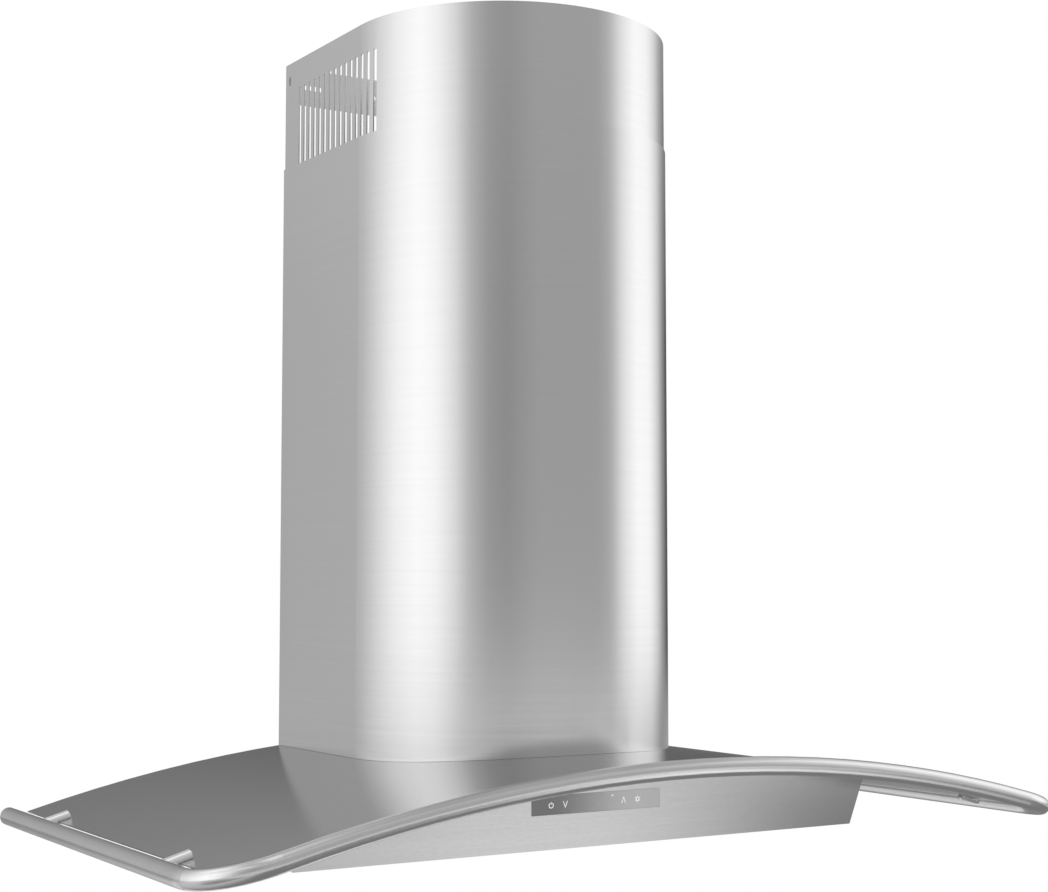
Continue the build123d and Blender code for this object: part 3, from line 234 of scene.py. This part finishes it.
# Node helpers
class Graph:
    """A material's or world's node tree with short calls to add and join nodes."""

    def __init__(self, tree):
        self.tree = tree
        tree.nodes.clear()

    def add(self, kind, **settings):
        node = self.tree.nodes.new(kind)
        for key, value in settings.items():
            setattr(node, key, value)
        return node

    def feed(self, source, target):
        """Links a socket to an input, or sets the input to a plain value."""
        if isinstance(source, bpy.types.NodeSocket):
            self.tree.links.new(source, target)
        else:
            target.default_value = source

    def fill(self, node, values):
        """Feeds a node's inputs by name."""
        for name, source in values.items():
            self.feed(source, node.inputs[name])

    def show(self, shader, output="ShaderNodeOutputMaterial"):
        """Sends a shader to the tree's output."""
        self.feed(shader.outputs[0], self.add(output).inputs["Surface"])

    def lay(self, share, under, over):
        """One shader over another, by a share from 0 to 1."""
        node = self.add("ShaderNodeMixShader")
        for socket, source in zip(node.inputs, (share, under.outputs[0], over.outputs[0])):
            self.feed(source, socket)
        return node

    def math(self, operation, first, second=0.0, third=0.0):
        node = self.add("ShaderNodeMath", operation=operation)
        for socket, value in zip(node.inputs, (first, second, third)):
            self.feed(value, socket)
        return node.outputs[0]

    def plus(self, base, extra, share):
        """A value with a share of another one added."""
        return self.math("MULTIPLY_ADD", extra, share, base)

    def spot(self):
        """The place on the object, in metres."""
        return self.add("ShaderNodeTexCoord").outputs["Object"]

    def axes(self):
        """The place on the object, split into its axes."""
        split = self.add("ShaderNodeSeparateXYZ")
        self.feed(self.spot(), split.inputs["Vector"])
        return split.outputs

    def place(self, cells):
        """The place on the object counted in cells: so many to the metre, on all axes or on each."""
        mapping = self.add("ShaderNodeMapping")
        scale = cells if isinstance(cells, tuple) else (cells, cells, cells)
        self.fill(mapping, {"Vector": self.spot(), "Scale": scale})
        return mapping.outputs["Vector"]

    def noise(self, cells, detail, roughness=0.55):
        node = self.add("ShaderNodeTexNoise")
        values = {"Scale": 1.0, "Detail": detail, "Roughness": roughness}
        self.fill(node, {"Vector": self.place(cells), **values})
        return node.outputs["Fac"]

    def span(self, value, low, high, start=0.0, end=1.0):
        """Maps a value between start and end to between low and high."""
        node = self.add("ShaderNodeMapRange")
        limits = {"From Min": start, "From Max": end, "To Min": low, "To Max": high}
        self.fill(node, {"Value": value, **limits})
        return node.outputs["Result"]

    def about(self, value, middle, spread):
        """Maps a value between 0 and 1 to a spread on both sides of a middle."""
        return self.span(value, middle - spread, middle + spread)

    def rise(self, value, start, end):
        """Rises softly from 0 to 1 while a value goes from start to end."""
        node = self.add("ShaderNodeMapRange", interpolation_type="SMOOTHSTEP")
        self.fill(node, {"Value": value, "From Min": start, "From Max": end})
        return node.outputs["Result"]

    def mix(self, factor, first, second, blend_type="MIX"):
        node = self.add("ShaderNodeMix", data_type="RGBA", blend_type=blend_type)
        self.fill(node, {"Factor": factor, "A": first, "B": second})
        return node.outputs["Result"]

    def tint(self, colour, level):
        """A colour made lighter or darker by a level about 1."""
        return self.mix(1.0, colour, level, blend_type="MULTIPLY")

    def bump(self, height, depth):
        """A relief whose depth is in metres."""
        node = self.add("ShaderNodeBump")
        self.fill(node, {"Strength": 1.0, "Distance": depth, "Height": height})
        return node.outputs["Normal"]


def grey(level):
    """A neutral colour."""
    return (level, level, level, 1.0)


def empty_material(name):
    """A material without nodes; returns it and its graph."""
    material = bpy.data.materials.new(name)
    material.use_nodes = True
    return material, Graph(material.node_tree)


def new_material(name):
    """A material with one principled shader; returns it, its graph and the shader."""
    material, graph = empty_material(name)
    shader = graph.add("ShaderNodeBsdfPrincipled")
    graph.show(shader)
    return material, graph, shader


# Mesh helpers
def arc(centre, radius, start, stop, steps):
    """Points along a circle, from one angle to another in degrees."""
    angles = [math.radians(start + (stop - start) * index / steps) for index in range(steps + 1)]
    return [(centre[0] + radius * math.cos(a), centre[1] + radius * math.sin(a)) for a in angles]


def circle(radius, steps, centre=(0.0, 0.0)):
    """Points round a whole circle."""
    return arc(centre, radius, 0, FULL_TURN - FULL_TURN / steps, steps - 1)


def link_mesh(name, mesh, material):
    """A new object in the scene from a mesh that is no longer needed."""
    data = bpy.data.meshes.new(name)
    mesh.to_mesh(data)
    mesh.free()
    data.materials.append(material)
    piece = bpy.data.objects.new(name, data)
    bpy.context.scene.collection.objects.link(piece)
    return piece


# Finishes
def brushed_steel(name, colour, along, roughness, anisotropy, axis="Z", turn=0.25, dashes=0.0):
    """Stainless sheet with fine streaks along its brushing, and short dashes where it has them."""

    def cells(lengthwise, crosswise):
        return tuple(lengthwise if letter in along else crosswise for letter in "XYZ")

    material, graph, shader = new_material(name)
    streaks = graph.noise(cells(*STREAK_CELLS), detail=3.0, roughness=0.6)
    bands = graph.noise(cells(*BAND_CELLS), detail=2.0)
    cloud = graph.noise(cells=5.0, detail=2.0)
    grain = graph.plus(graph.math("MULTIPLY", streaks, 1 - BAND_SHARE), bands, BAND_SHARE)
    tone = graph.plus(graph.span(grain, low=0.95, high=1.03), cloud, share=0.03)
    if dashes:
        marks = graph.noise(cells(*DASH_CELLS), detail=3.0, roughness=0.7)
        tone = graph.math("ADD", tone, graph.about(marks, 0.0, spread=dashes))
    tangent = graph.add("ShaderNodeTangent", direction_type="RADIAL", axis=axis)
    graph.fill(shader, {
        "Base Color": graph.tint(colour, tone),
        "Metallic": 1.0,
        "Roughness": graph.about(grain, roughness, spread=-0.05),
        "Normal": graph.bump(streaks, depth=0.00001),
        "Anisotropic": anisotropy,
        "Anisotropic Rotation": turn,
        "Tangent": tangent.outputs["Tangent"],
    })
    return material


def satin_steel(name, colour, roughness):
    """Polished tube and small turned parts, with faint even grain."""
    material, graph, shader = new_material(name)
    grain = graph.noise(cells=900.0, detail=2.0)
    cloud = graph.noise(cells=30.0, detail=3.0)
    tone = graph.plus(graph.span(grain, low=0.93, high=1.02), cloud, share=0.05)
    graph.fill(shader, {
        "Base Color": graph.tint(colour, tone),
        "Metallic": 1.0,
        "Roughness": graph.about(cloud, roughness, spread=0.03),
        "Normal": graph.bump(grain, depth=0.000004),
    })
    return material


def zinc_sheet(name, colour):
    """Galvanised sheet: flat crystals of slightly different tone and gloss."""
    material, graph, shader = new_material(name)
    crystals = graph.add("ShaderNodeTexVoronoi")
    graph.fill(crystals, {"Vector": graph.place(cells=160.0), "Scale": 1.0})
    split = graph.add("ShaderNodeSeparateColor")
    graph.feed(crystals.outputs["Color"], split.inputs["Color"])
    cloud = graph.noise(cells=14.0, detail=4.0)
    tone = graph.plus(graph.span(split.outputs[0], low=0.82, high=1.04), cloud, share=0.12)
    graph.fill(shader, {
        "Base Color": graph.tint(colour, tone),
        "Metallic": 1.0,
        "Roughness": graph.span(split.outputs[1], low=0.34, high=0.52),
        "Normal": graph.bump(cloud, depth=0.00005),
    })
    return material


def moulded_plastic(name, colour, roughness):
    """Fine grained moulding."""
    material, graph, shader = new_material(name)
    grain = graph.noise(cells=1400.0, detail=2.0)
    cloud = graph.noise(cells=25.0, detail=3.0)
    graph.fill(shader, {
        "Base Color": graph.tint(colour, graph.span(cloud, low=0.85, high=1.15)),
        "Roughness": graph.about(grain, roughness, spread=0.08),
        "Normal": graph.bump(grain, depth=0.00003),
    })
    return material


def touch_film(name):
    """Smooth touch strip on brushed sheet, darker towards its left end."""
    low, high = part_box("touch_panel")
    width = high.x - low.x
    dark_end = low.x + FILM_DARK_WIDTH * width
    pale_end = high.x - FILM_PALE_WIDTH * width
    material, graph, shader = new_material(name)
    shade = graph.rise(graph.axes()["X"], dark_end, pale_end)
    streaks = graph.noise(FILM_CELLS, detail=3.0)
    fade = graph.mix(shade, grey(FILM_DARK), grey(FILM_PALE))
    graph.fill(shader, {
        "Base Color": graph.tint(fade, graph.span(streaks, low=0.97, high=1.03)),
        "Metallic": 0.9,
        "Roughness": graph.span(streaks, low=0.26, high=0.28),
        "Coat Weight": 0.3,
        "Coat Roughness": 0.05,
    })
    return material


def touch_print(name):
    """White printed symbols with a painted glow."""
    material, graph, shader = new_material(name)
    cloud = graph.noise(cells=800.0, detail=1.0)
    graph.fill(shader, {
        "Base Color": graph.tint(grey(0.95), graph.span(cloud, low=0.97, high=1.0)),
        "Roughness": 0.5,
        # Painted glow: the print gives off light of its own, though it is no lamp
        "Emission Color": WHITE,
        "Emission Strength": 0.45,
    })
    return material


def circuit_board(name):
    """Green solder mask with copper runs under it."""
    material, graph, shader = new_material(name)
    runs = graph.add("ShaderNodeTexBrick", offset=0.35)
    graph.fill(runs, {
        "Vector": graph.place(cells=180.0),
        "Scale": 1.0,
        "Mortar Size": 0.08,
        "Color1": (0.012, 0.11, 0.045, 1.0),
        "Color2": (0.016, 0.13, 0.05, 1.0),
        "Mortar": (0.04, 0.22, 0.08, 1.0),
    })
    graph.fill(shader, {
        "Base Color": runs.outputs["Color"],
        "Roughness": 0.3,
        "Normal": graph.bump(runs.outputs["Fac"], depth=0.00003),
    })
    return material


def frosted_glass(name):
    """Frosted lamp lens with a faint prismatic grain."""
    material, graph, shader = new_material(name)
    prisms = graph.add("ShaderNodeTexVoronoi", feature="SMOOTH_F1")
    graph.fill(prisms, {"Vector": graph.place(cells=420.0), "Scale": 1.0})
    grain = prisms.outputs["Distance"]
    graph.fill(shader, {
        "Base Color": graph.tint((0.93, 0.93, 0.90, 1.0), graph.span(grain, low=1.0, high=0.94)),
        "Roughness": graph.span(grain, low=0.28, high=0.4),
        "Normal": graph.bump(grain, depth=0.0001),
        "Transmission Weight": 0.55,
        "IOR": 1.49,
    })
    return material


def painted_metal(name, colour):
    """Satin enamel with a little orange peel."""
    material, graph, shader = new_material(name)
    peel = graph.noise(cells=500.0, detail=2.0)
    cloud = graph.noise(cells=18.0, detail=4.0)
    graph.fill(shader, {
        "Base Color": graph.tint(colour, graph.span(cloud, low=0.8, high=1.2)),
        "Roughness": graph.span(cloud, low=0.36, high=0.5),
        "Normal": graph.bump(peel, depth=0.00004),
    })
    return material


STEEL = grey(0.61)
CANOPY_STEEL = grey(0.57)
BAFFLE_STEEL = (0.55, 0.55, 0.545, 1.0)
ZINC = (0.52, 0.54, 0.55, 1.0)
SCREW_PLATE = (0.72, 0.72, 0.71, 1.0)
CAST_ALUMINIUM = (0.62, 0.62, 0.63, 1.0)
DRAWN_ALUMINIUM = (0.75, 0.75, 0.76, 1.0)
BLACK_PLASTIC = (0.03, 0.03, 0.031, 1.0)
MOTOR_PAINT = (0.05, 0.05, 0.055, 1.0)

finishes = {
    "chimney": brushed_steel(
        "chimney_brushed", STEEL, along="XY", roughness=0.17, anisotropy=0.4
    ),
    "panel": brushed_steel(
        "panel_brushed", STEEL, along="XY", roughness=0.17, anisotropy=0.4, dashes=0.07
    ),
    "canopy": brushed_steel(
        "canopy_brushed", CANOPY_STEEL, along="X", roughness=0.22, anisotropy=0.5, axis="Y"
    ),
    "underside": brushed_steel(
        "underside_brushed", STEEL, along="X", roughness=0.32, anisotropy=0.5, axis="Y"
    ),
    "satin_tube": satin_steel("satin_tube", grey(0.64), roughness=0.26),
    # Side runs: the same tube as the front, rougher, with a darker colour that is painted shade
    "side_tube": satin_steel("side_tube", grey(0.58), roughness=0.32),
    "peg": satin_steel("turned_peg", grey(0.78), roughness=0.26),
    "bracket": satin_steel("bracket_plate", grey(0.85), roughness=0.35),
    "baffle_steel": brushed_steel(
        "baffle_strip", BAFFLE_STEEL, along="Y", roughness=0.3, anisotropy=0.5, axis="Y", turn=0.0
    ),
    "zinc_steel": zinc_sheet("zinc_sheet", ZINC),
    "bright_screw": satin_steel("bright_plate", SCREW_PLATE, roughness=0.18),
    "touch_film": touch_film("touch_film"),
    "touch_print": touch_print("touch_print"),
    "black_plastic": moulded_plastic("black_moulding", BLACK_PLASTIC, roughness=0.5),
    "circuit_board": circuit_board("circuit_board"),
    "lamp_glass": frosted_glass("lamp_glass"),
    "heat_sink": satin_steel("cast_aluminium", CAST_ALUMINIUM, roughness=0.42),
    "motor_paint": painted_metal("motor_enamel", MOTOR_PAINT),
    "capacitor_can": satin_steel("drawn_aluminium", DRAWN_ALUMINIUM, roughness=0.33),
}
finish_of_node = {
    "lower_chimney": "chimney",
    "upper_chimney": "chimney",
    "canopy_sheet": "canopy",
    "front_panel": "panel",
    "side_panel_left": "panel",
    "side_panel_right": "panel",
    "back_panel": "panel",
    "rail_side_left": "side_tube",
    "rail_side_right": "side_tube",
    "rail_standoffs": "peg",
    "chimney_bracket": "bracket",
    "bottom_frame": "underside",
    "filter_frame_left": "underside",
    "filter_frame_right": "underside",
}


def dress_nodes():
    """Gives each CAD node its finish: its own where it has one, or else its record slot's."""
    for name, node in nodes.items():
        slot = node.material_slots[0]
        slot.material = finishes[finish_of_node.get(name, slot.material.name.split(".")[0])]


dress_nodes()

# The chimney shows the studio and not the rail in front of it
nodes["rail_front"].visible_glossy = False


# Touch symbols
def ribbon(mesh, points, face, closed=False):
    """A flat raised stroke along points in the touch strip's plane."""
    points = [Vector(point) for point in points]
    count = len(points)
    rows = []
    for index, point in enumerate(points):
        before = points[index - 1] if closed or index else point
        after = points[(index + 1) % count] if closed or index < count - 1 else point
        into = (point - before).normalized() if point != before else (after - point).normalized()
        out = (after - point).normalized() if after != point else into
        along = (into + out).normalized()
        half_width = ICON_STROKE / 2 / max(ICON_MITRE_LIMIT, along.dot(out))
        across = Vector((-along.y, along.x)) * half_width
        corners = [
            (corner.x, depth, corner.y)
            for depth in (face, face - ICON_HEIGHT)
            for corner in (point - across, point + across)
        ]
        rows.append([mesh.verts.new(corner) for corner in corners])
    for index in range(count if closed else count - 1):
        low, high = rows[index], rows[(index + 1) % count]
        for first, second in ((0, 1), (1, 3), (3, 2), (2, 0)):
            mesh.faces.new((low[first], low[second], high[second], high[first]))
    if not closed:
        for end in (rows[0], rows[-1]):
            mesh.faces.new((end[0], end[1], end[3], end[2]))


def touch_icons():
    """Power, less, more and light symbols and a small indicator on the touch strip."""
    low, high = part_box("touch_panel")
    face = low.y
    line = (low.z + high.z) / 2
    half = ICON_SIZE / 2
    wide = CHEVRON_WIDTH * half
    mesh = bmesh.new()
    x = ICON_PLACES["power"]
    middle = (x, line - POWER_OFFSET * half)
    ribbon(mesh, arc(middle, POWER_RADIUS * half, *POWER_ARC, POWER_STEPS), face)
    ribbon(mesh, [(x, line + POWER_OFFSET * half), (x, line + half)], face)
    x = ICON_PLACES["less"]
    ribbon(mesh, [(x - wide, line + half), (x, line - half), (x + wide, line + half)], face)
    x = ICON_PLACES["more"]
    ribbon(mesh, [(x - wide, line - half), (x, line + half), (x + wide, line - half)], face)
    x = ICON_PLACES["light"]
    ribbon(mesh, circle(LIGHT_RADIUS * half, LIGHT_STEPS, (x, line)), face, closed=True)
    for angle in range(LIGHT_RAY_START, FULL_TURN, LIGHT_RAY_PITCH):
        ray = math.radians(angle)
        reaches = [reach * half for reach in LIGHT_RAY]
        ends = [(x + reach * math.cos(ray), line + reach * math.sin(ray)) for reach in reaches]
        ribbon(mesh, ends, face)
    spot = (ICON_PLACES["dot"], line + ICON_DOT_RISE)
    ribbon(mesh, circle(DOT_RADIUS * half, DOT_STEPS, spot), face, closed=True)
    bmesh.ops.recalc_face_normals(mesh, faces=mesh.faces)
    icons = link_mesh("touch_icons", mesh, finishes["touch_print"])
    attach(icons, "hood")


touch_icons()


# Studio
def level_ramp(graph, share, levels):
    """Brightness by direction, as a ramp round the whole turn."""
    ramp = graph.add("ShaderNodeValToRGB")
    stops = ramp.color_ramp.elements
    stops.remove(stops[-1])
    turn = [(degrees / FULL_TURN + 0.5, level / RING_STRENGTH) for degrees, level in levels]
    turn.append((1.0, turn[0][1]))
    for index, (position, value) in enumerate(turn):
        stop = stops[0] if index == 0 else stops.new(position)
        stop.position = position
        stop.color = grey(value)
    graph.feed(share, ramp.inputs["Fac"])
    return ramp.outputs["Color"]


def light_ring():
    """Soft boxes and grey cards round the studio, as one ring that the metal reflects."""
    material, graph = empty_material("light_ring")
    axes = graph.axes()
    angle = graph.math("ARCTAN2", axes["X"], graph.math("MULTIPLY", axes["Y"], -1.0))
    share = graph.span(angle, 0.0, 1.0, -math.pi, math.pi)
    above, below, foot = (
        graph.span(axes["Z"], 0.0, 1.0, *heights)
        for heights in (RING_RISE, RING_HORIZON, RING_FOOT)
    )
    colour = level_ramp(graph, share, RING_LEVELS)
    colour = graph.mix(above, colour, level_ramp(graph, share, HIGH_LEVELS))
    colour = graph.mix(below, colour, level_ramp(graph, share, LOW_LEVELS))
    colour = graph.mix(foot, colour, grey(RING_FOOT_LEVEL / RING_STRENGTH))
    light = graph.add("ShaderNodeEmission")
    graph.fill(light, {"Color": colour, "Strength": RING_STRENGTH})
    graph.show(light)
    mesh = bmesh.new()
    points = circle(RING_RADIUS, ROUND_STEPS)
    low, high = (
        [mesh.verts.new((x, y, height)) for x, y in points] for height in (-FLOOR_DROP, RING_TOP)
    )
    for index in range(ROUND_STEPS):
        after = (index + 1) % ROUND_STEPS
        mesh.faces.new((low[index], low[after], high[after], high[index]))
    ring = link_mesh("light_ring", mesh, material)
    ring.visible_camera = False


def soft_card(name, centre, size, level, edge, upright=False, turn=0.0):
    """A reflector or flag with faded edges, lying flat, or upright and square to the Y axis."""
    material, graph = empty_material(name)
    axes = graph.axes()
    cover = 1.0
    for axis, length, width in zip("XY", size, edge):
        away = graph.math("ABSOLUTE", axes[axis])
        cover = graph.math("MULTIPLY", cover, graph.rise(away, length / 2, length / 2 - width))
    light = graph.add("ShaderNodeEmission")
    light.inputs["Strength"].default_value = level
    graph.show(graph.lay(cover, graph.add("ShaderNodeBsdfTransparent"), light))
    mesh = bmesh.new()
    half_x, half_y = size[0] / 2, size[1] / 2
    corners = [(-half_x, -half_y), (half_x, -half_y), (half_x, half_y), (-half_x, half_y)]
    mesh.faces.new([mesh.verts.new((x, y, 0.0)) for x, y in corners])
    card = link_mesh(name, mesh, material)
    card.location = centre
    card.rotation_euler = (-math.pi / 2 if upright else 0.0, 0.0, math.radians(turn))
    card.visible_camera = False
    card.visible_diffuse = False
    card.visible_shadow = False


def pale_floor():
    """Round pale floor under the hood, which fades to the white of the studio at its rim."""
    material, graph = empty_material("pale_floor")
    matte = graph.add("ShaderNodeBsdfDiffuse")
    matte.inputs["Color"].default_value = grey(FLOOR_SHADE)
    white = graph.add("ShaderNodeEmission")
    white.inputs["Strength"].default_value = 1.0
    reach = graph.add("ShaderNodeVectorMath", operation="LENGTH")
    graph.feed(graph.spot(), reach.inputs[0])
    fade = graph.rise(reach.outputs["Value"], FLOOR_FADE, FLOOR_RADIUS)
    path = graph.add("ShaderNodeLightPath").outputs
    seen = graph.math("MAXIMUM", path["Is Camera Ray"], path["Is Transmission Ray"])
    seen = graph.math("MAXIMUM", seen, path["Is Glossy Ray"])
    top = graph.lay(graph.math("MULTIPLY", seen, fade), matte, white)
    back = graph.add("ShaderNodeNewGeometry").outputs["Backfacing"]
    graph.show(graph.lay(back, top, graph.add("ShaderNodeBsdfTransparent")))
    mesh = bmesh.new()
    mesh.faces.new([mesh.verts.new((x, y, 0.0)) for x, y in circle(FLOOR_RADIUS, ROUND_STEPS)])
    floor = link_mesh("floor", mesh, material)
    floor.location.z = -FLOOR_DROP


def white_world():
    """Plain white all round, behind the ring."""
    world = bpy.data.worlds.new("studio")
    bpy.context.scene.world = world
    world.use_nodes = True
    graph = Graph(world.node_tree)
    background = graph.add("ShaderNodeBackground")
    graph.fill(background, {"Color": WHITE, "Strength": 1.0})
    graph.show(background, "ShaderNodeOutputWorld")


light_ring()
pale_floor()
for card_name, card_values in CARDS.items():
    soft_card(card_name, **card_values)
white_world()


# Camera
def aim_camera():
    """The camera at the photograph's viewing angle."""
    data = bpy.data.cameras.new("camera")
    data.sensor_fit = "HORIZONTAL"
    data.sensor_width = CAMERA_SENSOR
    data.lens = CAMERA_LENS
    data.clip_end = CAMERA_REACH
    camera = bpy.data.objects.new("camera", data)
    camera.location = CAMERA_PLACE
    level = math.cos(CAMERA_PITCH)
    ahead = (math.sin(CAMERA_YAW) * level, math.cos(CAMERA_YAW) * level, math.sin(CAMERA_PITCH))
    camera.rotation_euler = Vector(ahead).to_track_quat("-Z", "Y").to_euler()
    bpy.context.scene.collection.objects.link(camera)
    bpy.context.scene.camera = camera


aim_camera()
bpy.context.scene.view_settings.view_transform = "Standard"
